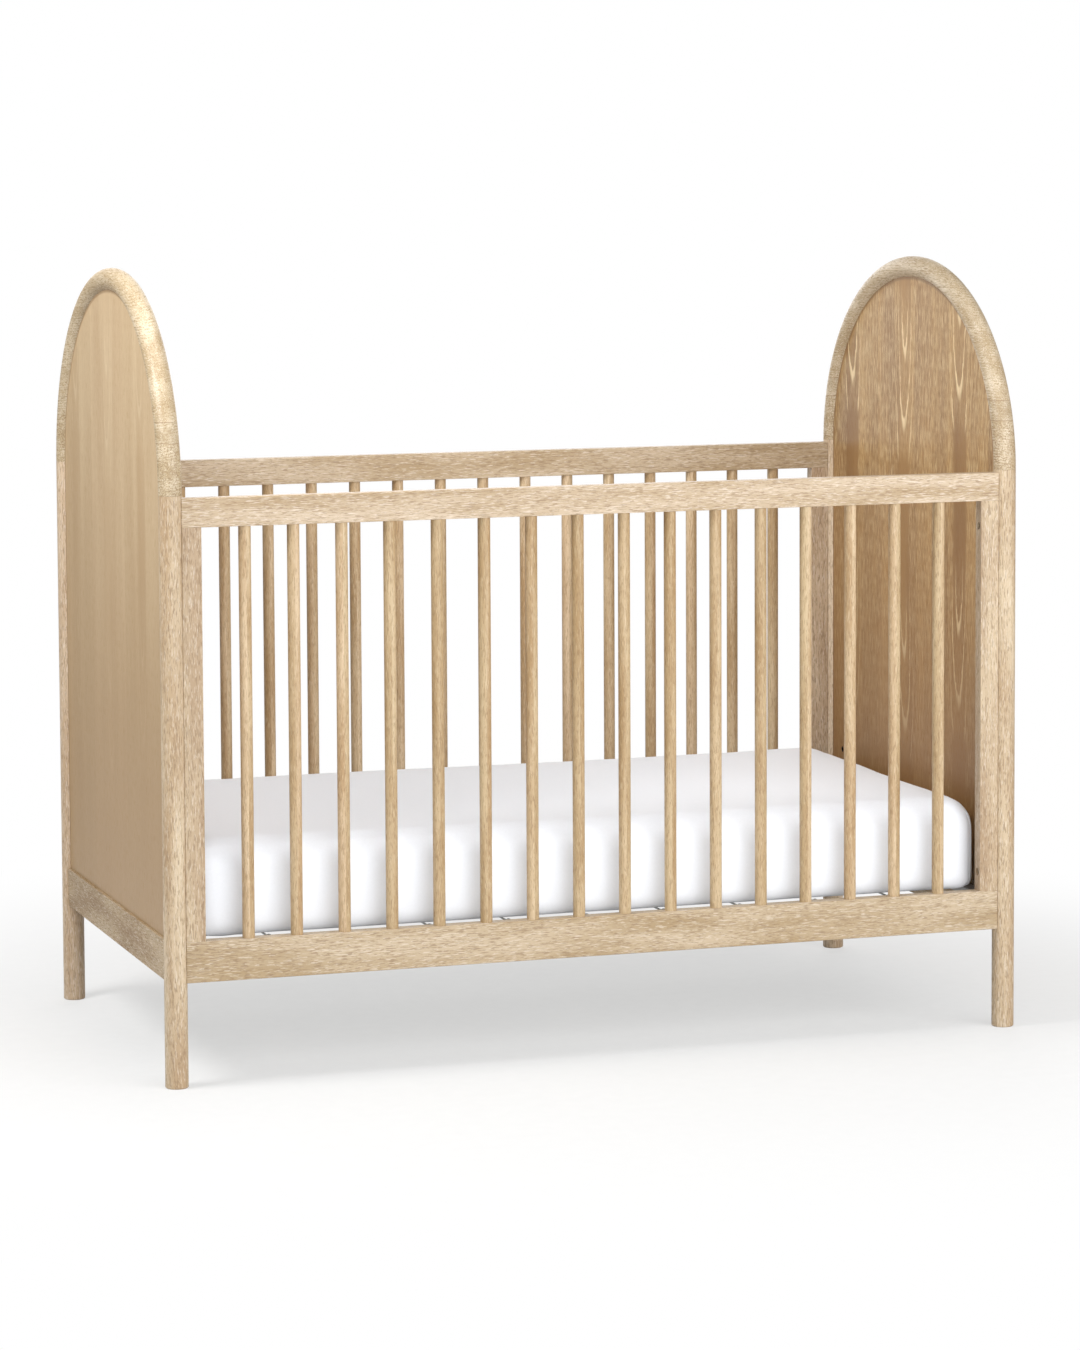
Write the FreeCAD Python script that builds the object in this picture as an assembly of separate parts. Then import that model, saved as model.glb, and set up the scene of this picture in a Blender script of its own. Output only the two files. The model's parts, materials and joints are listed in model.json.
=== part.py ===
import FreeCAD, Part
import math
import os
from FreeCAD import Vector

# Baby crib: two arched end panels on round posts, joined by two fixed spindle
# sides, with a mattress in a fitted sheet on a sprung steel support. The
# support hangs on shoulder bolts at one of three heights.
#
# Millimetres. The origin is on the floor under the middle of the crib,
# +X runs along the crib to its right end, +Y to its back side and +Z up.

# ---- driving dimensions ----------------------------------------------------

# Ends
post_axis_x = 673.0          # half the distance between the posts of one side
post_axis_y = 360.0          # half the distance between the posts of one end
post_radius = 17.5
post_height = 888.0          # floor to the seam under the arch
foot_chamfer = 1.5
seat_offset = 14.0           # post axis to the flats that the rails land on
arch_rise = 308.0            # seam to the arch's centre line at the crown
panel_thickness = 14.0
panel_edge_offset = 9.5      # post and arch centre line to the panel's edge
end_rail_thickness = 22.0
end_rail_groove = 6.0        # how deep the panel stands in the end rail
seam_chamfer = 0.6           # round the top of the post
dowel_radius = 5.0
dowel_reach = 30.0           # into the post, and into the arch

# Sides
side_thickness = 22.0
rail_low_z = 158.0
rail_low_height = 62.0
rail_top_z = 884.0
rail_top_height = 44.0
stile_width = 30.5
outer_edge_radius = 2.0
inner_edge_radius = 0.8
end_chamfer = 1.2            # where a rail or stile meets the post
stile_tenon_length = 14.0
stile_tenon_width = 18.0
stile_tenon_thickness = 9.0
spindle_count = 16
spindle_pitch = 74.7
spindle_radius = 9.35
spindle_tenon_radius = 6.0
spindle_tenon_length = 14.0

# Side bolts, two at each corner, and the threaded inserts that take them
side_bolt_heights = (250.0, 800.0)
counterbore_radius = 6.0
counterbore_depth = 12.0
bolt_head_radius = 5.0
bolt_head_height = 6.0
bolt_radius = 3.0
bolt_hole_radius = 3.3
bolt_end_gap = 1.5           # bolt tip to the far end of its insert
socket_radius = 2.9          # across the corners of the hexagon socket
socket_depth = 3.0
insert_radius = 5.0
insert_bore_radius = 3.05
side_insert_length = 15.0
end_insert_length = 12.0

# Mattress and its support
mattress_length = 1303.0
mattress_width = 686.0
mattress_height = 150.0
mattress_edge_radius = 28.0
sheet_thickness = 1.0
sheet_hem_width = 60.0       # how far the sheet is turned in under the mattress
support_top_z = 213.0        # lowest of the three heights
support_half_length = 659.0
support_half_width = 341.0
angle_height = 20.0
angle_width = 22.0
angle_thickness = 2.5
height_step = 90.0
height_count = 3
wire_radius = 1.5
spring_radius = 5.0
spring_length = 42.0
length_wire_count = 7
cross_wire_count = 9
length_wire_z = 207.4
cross_wire_z = 204.2
bracket_y = 300.0
bracket_width = 34.0
bracket_low_z = 162.0
bracket_thickness = 2.5
bracket_corner_radius = 6.0
hanger_z = 176.0             # shoulder bolts at the lowest height
shoulder_radius = 4.0
hanger_head_radius = 7.0
hanger_head_height = 3.5
clearance = 0.3              # between pieces that move past each other

# ---- worked out from them --------------------------------------------------

side_end_x = post_axis_x - seat_offset
stile_inner_x = side_end_x - stile_width
rail_low_top = rail_low_z + rail_low_height
rail_top_under = rail_top_z - rail_top_height
end_rail_end_y = post_axis_y - seat_offset
panel_edge_y = post_axis_y - panel_edge_offset
panel_low_z = rail_low_top - end_rail_groove
panel_inner_x = post_axis_x - panel_thickness / 2
end_rail_inner_x = post_axis_x - end_rail_thickness / 2
side_inner_y = post_axis_y - side_thickness / 2
side_outer_y = post_axis_y + side_thickness / 2
spindle_xs = [(i - (spindle_count - 1) / 2) * spindle_pitch for i in range(spindle_count)]
deck_half_length = support_half_length - angle_width
deck_half_width = support_half_width - angle_width
mattress_low_z = support_top_z + sheet_thickness + clearance

END_NAMES = {-1: "left", 1: "right"}
SIDE_NAMES = {-1: "front", 1: "back"}
CORNERS = [(end, side) for side in (-1, 1) for end in (-1, 1)]


# ---- helpers ---------------------------------------------------------------

def block(x_range, y_range, z_range):
    """Box between two values on each axis, given in either order."""
    low = Vector(min(x_range), min(y_range), min(z_range))
    high = Vector(max(x_range), max(y_range), max(z_range))
    size = high - low
    return Part.makeBox(size.x, size.y, size.z, low)


def rod(radius, start, end):
    """Cylinder of one radius from one point to another."""
    start = Vector(*start)
    run = Vector(*end) - start
    return Part.makeCylinder(radius, run.Length, start, run)


def edges_along(shape, axis):
    """The straight edges of a shape that run along an axis."""
    found = []
    for edge in shape.Edges:
        run = edge.lastVertex().Point - edge.firstVertex().Point
        if run.Length > 0 and abs(run.normalize().dot(axis)) > 0.999:
            found.append(edge)
    return found


def eased(shape, edges, radius):
    """The shape with some of its edges rounded."""
    return shape.makeFillet(radius, edges)


def save(name, shape):
    """Check one sub-part and write its STEP file."""
    if not shape.isValid() or shape.Volume <= 0:
        raise ValueError(name + " is not a valid solid")
    shape.exportStep("parts/" + name + ".step")
    print(name, len(shape.Solids), "solids", round(shape.Volume / 1000.0, 1), "cm3")


# ---- ends ------------------------------------------------------------------

def end_panel(end):
    """Flat panel with straight sides and a half-ellipse top."""
    x = end * post_axis_x - panel_thickness / 2
    rise = arch_rise - panel_edge_offset
    low_left = Vector(x, -panel_edge_y, panel_low_z)
    low_right = Vector(x, panel_edge_y, panel_low_z)
    seam_left = Vector(x, -panel_edge_y, post_height)
    seam_right = Vector(x, panel_edge_y, post_height)
    edges = [
        Part.makeLine(seam_left, low_left),
        Part.makeLine(low_left, low_right),
        Part.makeLine(low_right, seam_right),
        half_ellipse(x, panel_edge_y, rise),
    ]
    outline = Part.Wire(Part.__sortEdges__(edges))
    return Part.Face(outline).extrude(Vector(panel_thickness, 0, 0))


def half_ellipse(x, half_width, rise):
    """Upper half of an ellipse in the plane of an end, standing on the seam."""
    centre = Vector(x, 0, post_height)
    side_point = centre + Vector(0, half_width, 0)
    crown_point = centre + Vector(0, 0, rise)
    if half_width > rise:
        ellipse = Part.Ellipse(side_point, crown_point, centre)
    else:
        ellipse = Part.Ellipse(crown_point, side_point, centre)
    start = ellipse.parameter(side_point)
    end = ellipse.parameter(centre - Vector(0, half_width, 0))
    arc = ellipse.toShape(start, end if end > start else end + 2 * math.pi)
    return arc


def dowel(end, side):
    """Wooden dowel across the seam between a post and its arch."""
    x = end * post_axis_x
    y = side * post_axis_y
    return rod(dowel_radius, (x, y, post_height - dowel_reach), (x, y, post_height + dowel_reach))


def arch(end, panel, dowels):
    """Round arch over the panel, grooved for it and bored for its dowels."""
    x = end * post_axis_x
    path = Part.Wire([half_ellipse(x, post_axis_y, arch_rise)])
    start = path.OrderedVertexes[0].Point
    section = Part.Wire([Part.makeCircle(post_radius, start, Vector(0, 0, 1))])
    tube = path.makePipeShell([section], True, True)
    return tube.cut([panel] + dowels)


def end_rail(end, panel):
    """Rail under the panel, with a tenon at each end and a groove in its top."""
    x = end * post_axis_x
    half = end_rail_thickness / 2
    body = block((x - half, x + half), (-end_rail_end_y, end_rail_end_y), (rail_low_z, rail_low_top))
    body = eased(body, edges_along(body, Vector(0, 1, 0)), inner_edge_radius)
    thin = panel_thickness / 2
    tenons = block((x - thin, x + thin), (-panel_edge_y, panel_edge_y), (rail_low_z, panel_low_z))
    return body.fuse(tenons).cut(panel).removeSplitter()


def post(end, side, cutters):
    """Round post and leg, with a flat for each rail and a groove for the panel."""
    x = end * post_axis_x
    y = side * post_axis_y
    stock = Part.makeCylinder(post_radius, post_height, Vector(x, y, 0))
    floor_edge = [edge for edge in stock.Edges if abs(edge.CenterOfMass.z) < 1e-6]
    stock = stock.makeChamfer(foot_chamfer, floor_edge)
    top_edge = [edge for edge in stock.Edges if abs(edge.CenterOfMass.z - post_height) < 1e-6]
    stock = stock.makeChamfer(seam_chamfer, top_edge)
    side_seat = block((x - end * seat_offset, x - end * 2 * post_radius),
                      (y - post_radius, y + post_radius), (rail_low_z, rail_top_z))
    end_seat = block((x - post_radius, x + post_radius),
                     (y - side * seat_offset, y - side * 2 * post_radius), (rail_low_z, rail_low_top))
    return stock.cut([side_seat, end_seat] + cutters)


# ---- sides -----------------------------------------------------------------

def spindle(side, x):
    """Round spindle with a thinner tenon at each end."""
    y = side * post_axis_y
    body = rod(spindle_radius, (x, y, rail_low_top), (x, y, rail_top_under))
    tenon = rod(spindle_tenon_radius, (x, y, rail_low_top - spindle_tenon_length),
                (x, y, rail_top_under + spindle_tenon_length))
    return body.fuse(tenon).removeSplitter()


def stile(end, side, bolt_holes):
    """Upright between the two rails of a side, against the post."""
    y = side * post_axis_y
    inner = end * stile_inner_x
    outer = end * side_end_x
    body = block((inner, outer), (side * side_inner_y, side * side_outer_y), (rail_low_top, rail_top_under))
    upright = edges_along(body, Vector(0, 0, 1))
    body = body.makeChamfer(end_chamfer, [edge for edge in upright if abs(edge.CenterOfMass.x - outer) < 1e-6])
    body = eased(body, [edge for edge in edges_along(body, Vector(0, 0, 1))
                        if abs(edge.CenterOfMass.x - inner) < 1e-6], inner_edge_radius)
    middle = (inner + outer) / 2
    tenon = block((middle - stile_tenon_width / 2, middle + stile_tenon_width / 2),
                  (y - stile_tenon_thickness / 2, y + stile_tenon_thickness / 2),
                  (rail_low_top - stile_tenon_length, rail_top_under + stile_tenon_length))
    return body.fuse(tenon).removeSplitter().cut(bolt_holes)


def side_rail(side, low_z, high_z, soft_z, uprights):
    """Rail along a side, mortised for its spindles and stiles."""
    body = block((-side_end_x, side_end_x), (side * side_inner_y, side * side_outer_y), (low_z, high_z))
    body = body.makeChamfer(end_chamfer, edges_along(body, Vector(0, 0, 1)))
    long_edges = edges_along(body, Vector(1, 0, 0))
    soft_edges = [edge for edge in long_edges if abs(edge.CenterOfMass.z - soft_z) < 1e-6]
    body = eased(body, soft_edges, outer_edge_radius)
    crisp_edges = [edge for edge in edges_along(body, Vector(1, 0, 0))
                   if abs(edge.CenterOfMass.z - (low_z + high_z - soft_z)) < 1e-6]
    body = eased(body, crisp_edges, inner_edge_radius)
    return body.cut(uprights)


def side_bolt_hole(end, side, z):
    """Counterbored hole through a stile for one side bolt."""
    y = side * post_axis_y
    mouth = end * stile_inner_x
    step = end * (stile_inner_x + counterbore_depth)
    bore = rod(bolt_hole_radius, (mouth, y, z), (end * side_end_x, y, z))
    return rod(counterbore_radius, (mouth, y, z), (step, y, z)).fuse(bore)


def hexagon_socket(end, x, y, z):
    """Hexagonal recess in a bolt head that faces the inside of the crib."""
    corners = []
    for i in range(7):
        angle = math.radians(60 * i)
        corners.append(Vector(x, y + socket_radius * math.cos(angle), z + socket_radius * math.sin(angle)))
    return Part.Face(Part.makePolygon(corners)).extrude(Vector(end * socket_depth, 0, 0))


def side_bolt(end, side, z):
    """Cap bolt that clamps a side frame to its post."""
    y = side * post_axis_y
    seat = end * (stile_inner_x + counterbore_depth)
    face = seat - end * bolt_head_height
    tip = end * (side_end_x + side_insert_length - bolt_end_gap)
    head = rod(bolt_head_radius, (face, y, z), (seat, y, z))
    shank = rod(bolt_radius, (seat, y, z), (tip, y, z))
    return head.fuse(shank).cut(hexagon_socket(end, face, y, z))


def threaded_insert(end, mouth_x, y, z, length):
    """Steel insert sunk flush in wood, its bore open at both ends."""
    start = (end * mouth_x, y, z)
    stop = (end * (mouth_x + length), y, z)
    return rod(insert_radius, start, stop).cut(rod(insert_bore_radius, start, stop))


# ---- mattress support ------------------------------------------------------

def support_frame():
    """Welded frame of steel angle: an upright leg outside, a flat flange on top."""
    low_z = support_top_z - angle_height
    x = support_half_length
    y = support_half_width
    t = angle_thickness
    legs = block((-x, x), (-y, y), (low_z, support_top_z))
    legs = legs.cut(block((-x + t, x - t), (-y + t, y - t), (low_z, support_top_z)))
    flange = block((-x, x), (-y, y), (support_top_z - t, support_top_z))
    flange = flange.cut(block((-deck_half_length, deck_half_length),
                              (-deck_half_width, deck_half_width), (low_z, support_top_z)))
    return legs.fuse(flange).removeSplitter()


def deck_lines():
    """Where each wire of the deck lies: fixed coordinate for both directions."""
    length_step = 2 * deck_half_width / (length_wire_count + 1)
    cross_step = 2 * deck_half_length / (cross_wire_count + 1)
    length_ys = [(i + 1) * length_step - deck_half_width for i in range(length_wire_count)]
    cross_xs = [(i + 1) * cross_step - deck_half_length for i in range(cross_wire_count)]
    return length_ys, cross_xs


def deck_wires():
    """Straight wires of the deck, the lengthwise ones over the crosswise ones."""
    length_ys, cross_xs = deck_lines()
    reach_x = deck_half_length - spring_length
    reach_y = deck_half_width - spring_length
    wires = [rod(wire_radius, (-reach_x, y, length_wire_z), (reach_x, y, length_wire_z)) for y in length_ys]
    wires += [rod(wire_radius, (x, -reach_y, cross_wire_z), (x, reach_y, cross_wire_z)) for x in cross_xs]
    return wires


def deck_springs():
    """Tension springs between the wires' ends and the frame's flange."""
    length_ys, cross_xs = deck_lines()
    springs = []
    for sign in (-1, 1):
        for y in length_ys:
            far = sign * deck_half_length
            springs.append(rod(spring_radius, (far - sign * spring_length, y, length_wire_z),
                               (far, y, length_wire_z)))
        for x in cross_xs:
            far = sign * deck_half_width
            springs.append(rod(spring_radius, (x, far - sign * spring_length, cross_wire_z),
                               (x, far, cross_wire_z)))
    return springs


def hanger_bracket(end, side):
    """Plate under a corner of the frame, slotted from below to hook on a bolt."""
    inner = end * support_half_length
    outer = end * (support_half_length + bracket_thickness)
    y = side * bracket_y
    plate = block((inner, outer), (y - bracket_width / 2, y + bracket_width / 2), (bracket_low_z, support_top_z))
    low_corners = [edge for edge in edges_along(plate, Vector(1, 0, 0))
                   if abs(edge.CenterOfMass.z - bracket_low_z) < 1e-6]
    plate = eased(plate, low_corners, bracket_corner_radius)
    slot_radius = shoulder_radius + clearance
    slot = block((inner, outer), (y - slot_radius, y + slot_radius), (bracket_low_z, hanger_z))
    return plate.cut([slot, rod(slot_radius, (inner, y, hanger_z), (outer, y, hanger_z))])


def hanger_bolt(end, side):
    """Shoulder bolt that carries one corner of the support."""
    y = side * bracket_y
    under_head = end * (support_half_length - clearance)
    face = under_head - end * hanger_head_height
    wood = end * end_rail_inner_x
    tip = end * (end_rail_inner_x + end_insert_length - bolt_end_gap)
    head = rod(hanger_head_radius, (face, y, hanger_z), (under_head, y, hanger_z))
    shoulder = rod(shoulder_radius, (under_head, y, hanger_z), (wood, y, hanger_z))
    shank = rod(bolt_radius, (wood, y, hanger_z), (tip, y, hanger_z))
    return head.fuse([shoulder, shank]).cut(hexagon_socket(end, face, y, hanger_z))


def mattress_stock(margin):
    """Rounded mattress outline, grown by a margin on every side."""
    half_length = mattress_length / 2 + margin
    half_width = mattress_width / 2 + margin
    stock = block((-half_length, half_length), (-half_width, half_width),
                  (mattress_low_z - margin, mattress_low_z + mattress_height + margin))
    return eased(stock, stock.Edges, mattress_edge_radius + margin)


def fitted_sheet(core):
    """Thin cover over the mattress, open under its middle."""
    opening = block((sheet_hem_width - mattress_length / 2, mattress_length / 2 - sheet_hem_width),
                    (sheet_hem_width - mattress_width / 2, mattress_width / 2 - sheet_hem_width),
                    (mattress_low_z - 2 * sheet_thickness, mattress_low_z + 1e-3))
    return mattress_stock(sheet_thickness).cut([core, opening])


# ---- assembly --------------------------------------------------------------

def end_insert_places(end):
    """Mouth and height of every insert at one end: one in the rail, the rest in the panel."""
    places = [(end_rail_inner_x, hanger_z)]
    places += [(panel_inner_x, hanger_z + level * height_step) for level in range(1, height_count)]
    return places


def build():
    """Make every sub-part, keyed by its node name."""
    parts = {}
    inserts = []
    dowels = []
    side_bolts = []
    post_cutters = {corner: [] for corner in CORNERS}

    for end, side in CORNERS:
        y = side * post_axis_y
        for z in side_bolt_heights:
            side_bolts.append(side_bolt(end, side, z))
            inserts.append(threaded_insert(end, side_end_x, y, z, side_insert_length))
            bore = rod(insert_radius, (end * side_end_x, y, z), (end * (side_end_x + side_insert_length), y, z))
            post_cutters[end, side].append(bore)
        post_cutters[end, side].append(dowel(end, side))
        dowels.append(dowel(end, side))

    for end, end_name in END_NAMES.items():
        panel = end_panel(end)
        rail = end_rail(end, panel)
        for side in SIDE_NAMES:
            post_cutters[end, side] += [panel, rail]
        parts[end_name + "_arch"] = arch(end, panel, [dowel(end, side) for side in SIDE_NAMES])
        for mouth_x, z in end_insert_places(end):
            for side in SIDE_NAMES:
                y = side * bracket_y
                inserts.append(threaded_insert(end, mouth_x, y, z, end_insert_length))
                bore = rod(insert_radius, (end * mouth_x, y, z), (end * (mouth_x + end_insert_length), y, z))
                panel = panel.cut(bore)
                rail = rail.cut(bore)
        parts[end_name + "_end_panel"] = panel
        parts[end_name + "_end_rail"] = rail

    for side, side_name in SIDE_NAMES.items():
        uprights = []
        for end, end_name in END_NAMES.items():
            holes = [side_bolt_hole(end, side, z) for z in side_bolt_heights]
            upright = stile(end, side, holes)
            uprights.append(upright)
            parts[side_name + "_" + end_name + "_stile"] = upright
            parts[side_name + "_" + end_name + "_post"] = post(end, side, post_cutters[end, side])
        for number, x in enumerate(spindle_xs, start=1):
            upright = spindle(side, x)
            uprights.append(upright)
            parts[side_name + "_spindle_%02d" % number] = upright
        parts[side_name + "_top_rail"] = side_rail(side, rail_top_under, rail_top_z, rail_top_z, uprights)
        parts[side_name + "_bottom_rail"] = side_rail(side, rail_low_z, rail_low_top, rail_low_z, uprights)

    core = mattress_stock(0.0)
    parts["mattress"] = core
    parts["fitted_sheet"] = fitted_sheet(core)
    parts["support_frame"] = support_frame()
    parts["support_wires"] = Part.makeCompound(deck_wires())
    parts["wire_springs"] = Part.makeCompound(deck_springs())
    parts["hanger_brackets"] = Part.makeCompound([hanger_bracket(*corner) for corner in CORNERS])
    parts["hanger_bolts"] = Part.makeCompound([hanger_bolt(*corner) for corner in CORNERS])
    parts["side_bolts"] = Part.makeCompound(side_bolts)
    parts["threaded_inserts"] = Part.makeCompound(inserts)
    parts["arch_dowels"] = Part.makeCompound(dowels)
    return parts


os.makedirs("parts", exist_ok=True)
for node, solid in sorted(build().items()):
    save(node, solid)
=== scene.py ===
"""Looks of a baby crib in limed oak: wood finishes, made-up mattress, spring deck and studio.

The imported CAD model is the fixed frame. Its wood and steel pieces keep their meshes and
are dressed here; the mattress, its fitted sheet and the deck's springs are built new.
Everything is in metres in the frame's own axes: +X along the crib, +Y to its back, +Z up.
"""

import json
import logging
import math
from collections.abc import Callable, Iterable
from dataclasses import dataclass, field
from enum import Enum

import bmesh
import bpy
from mathutils import Matrix, Vector, noise
from mathutils.bvhtree import BVHTree

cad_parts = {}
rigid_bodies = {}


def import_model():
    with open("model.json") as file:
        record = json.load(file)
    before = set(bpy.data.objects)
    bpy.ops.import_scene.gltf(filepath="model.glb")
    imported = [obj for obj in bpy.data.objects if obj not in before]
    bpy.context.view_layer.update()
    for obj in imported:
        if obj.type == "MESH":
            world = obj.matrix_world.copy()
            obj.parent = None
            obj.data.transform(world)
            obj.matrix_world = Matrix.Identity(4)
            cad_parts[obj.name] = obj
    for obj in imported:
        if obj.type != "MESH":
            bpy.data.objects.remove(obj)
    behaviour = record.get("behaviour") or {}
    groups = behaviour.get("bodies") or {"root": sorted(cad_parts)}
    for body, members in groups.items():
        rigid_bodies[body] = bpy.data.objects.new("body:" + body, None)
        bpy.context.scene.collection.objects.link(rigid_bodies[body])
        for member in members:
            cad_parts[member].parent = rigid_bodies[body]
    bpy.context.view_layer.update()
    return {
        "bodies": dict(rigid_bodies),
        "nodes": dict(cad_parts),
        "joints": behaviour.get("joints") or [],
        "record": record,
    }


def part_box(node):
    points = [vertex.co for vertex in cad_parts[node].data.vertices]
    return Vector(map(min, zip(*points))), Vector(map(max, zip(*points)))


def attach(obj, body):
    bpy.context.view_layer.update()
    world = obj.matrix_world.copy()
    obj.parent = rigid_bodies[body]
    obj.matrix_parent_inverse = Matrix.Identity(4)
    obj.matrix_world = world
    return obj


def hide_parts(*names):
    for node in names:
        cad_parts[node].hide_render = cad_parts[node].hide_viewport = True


logging.basicConfig(level=logging.INFO, format="%(message)s")
log = logging.getLogger("crib")

MM = 0.001
Colour = tuple[float, float, float, float]
Socket = bpy.types.NodeSocket


def paint(code: str) -> Colour:
    """Turn a hexadecimal display colour into the linear colour that a shader takes.

    Args:
        code: Six hexadecimal digits, such as "d8c09b".

    Returns:
        Linear red, green, blue and an alpha of one.
    """
    channels = [int(code[i:i + 2], 16) / 255 for i in (0, 2, 4)]
    linear = [c / 12.92 if c <= 0.04045 else ((c + 0.055) / 1.055) ** 2.4 for c in channels]
    return (linear[0], linear[1], linear[2], 1.0)


# ---- node trees ------------------------------------------------------------


class Tree:
    """Adds and links the nodes of one tree."""

    def __init__(self, tree: bpy.types.NodeTree) -> None:
        """Wrap a node tree."""
        self.tree = tree

    def add(self, kind: str, inputs: dict[str | int, object] | None = None, **settings: object) -> bpy.types.Node:
        """Add a node.

        Args:
            kind: The node's type name.
            inputs: Values or sockets for its inputs, by socket name or place.
            **settings: Properties of the node itself.

        Returns:
            The new node.
        """
        node = self.tree.nodes.new(kind)
        for name, value in settings.items():
            setattr(node, name, value)
        for key, value in (inputs or {}).items():
            self.feed(node.inputs[key], value)
        return node

    def feed(self, socket: Socket, value: object) -> None:
        """Link a socket into an input, or set the input to a plain value."""
        if isinstance(value, bpy.types.NodeSocket):
            self.tree.links.new(value, socket)
        else:
            socket.default_value = value

    def math(self, operation: str, a: object, b: object = 0.0, c: object = 0.0, clamp: bool = False) -> Socket:
        """Do one sum on up to three values and return its result."""
        node = self.add("ShaderNodeMath", {0: a, 1: b, 2: c}, operation=operation, use_clamp=clamp)
        return node.outputs[0]

    def vector(self, operation: str, a: object, b: object = (0.0, 0.0, 0.0)) -> Socket:
        """Do one vector sum and return its vector result."""
        return self.add("ShaderNodeVectorMath", {0: a, 1: b}, operation=operation).outputs["Vector"]

    def join(self, x: object, y: object, z: object) -> Socket:
        """Make a vector of three values."""
        return self.add("ShaderNodeCombineXYZ", {0: x, 1: y, 2: z}).outputs[0]

    def split(self, vector: Socket) -> tuple[Socket, Socket, Socket]:
        """Return a vector's three values."""
        node = self.add("ShaderNodeSeparateXYZ", {0: vector})
        return node.outputs[0], node.outputs[1], node.outputs[2]

    def noise(self, vector: Socket, scale: float = 1.0, detail: float = 2.0, roughness: float = 0.5) -> bpy.types.Node:
        """Add a noise texture; its outputs are Fac and Color."""
        return self.add("ShaderNodeTexNoise", {"Vector": vector, "Scale": scale, "Detail": detail,
                                               "Roughness": roughness})

    def fit(self, value: Socket, low: float, high: float, to_low: float = 0.0, to_high: float = 1.0) -> Socket:
        """Map a value from one span to another, smoothly and within its ends."""
        node = self.add("ShaderNodeMapRange", {"Value": value, "From Min": low, "From Max": high,
                                               "To Min": to_low, "To Max": to_high},
                        interpolation_type="SMOOTHSTEP", clamp=True)
        return node.outputs["Result"]

    def blend(self, share: object, a: object, b: object, kind: str = "MIX") -> Socket:
        """Mix two colours and return the result."""
        node = self.add("ShaderNodeMix", data_type="RGBA", blend_type=kind, clamp_result=False)
        self.feed(node.inputs[0], share)
        self.feed(node.inputs[6], a)
        self.feed(node.inputs[7], b)
        return node.outputs[2]


def new_material(name: str) -> tuple[bpy.types.Material, Tree, bpy.types.Node]:
    """Make a material with an empty Principled shader.

    Args:
        name: The material's name.

    Returns:
        The material, its tree and its shader node.
    """
    material = bpy.data.materials.new(name)
    material.use_nodes = True
    shader = material.node_tree.nodes["Principled BSDF"]
    return material, Tree(material.node_tree), shader


# ---- finishes --------------------------------------------------------------


class Grain(Enum):
    """The row axis that a board's fibres run along, and the two across them."""

    X = (1, 2, 0)
    Y = (0, 2, 1)
    Z = (0, 1, 2)


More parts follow.
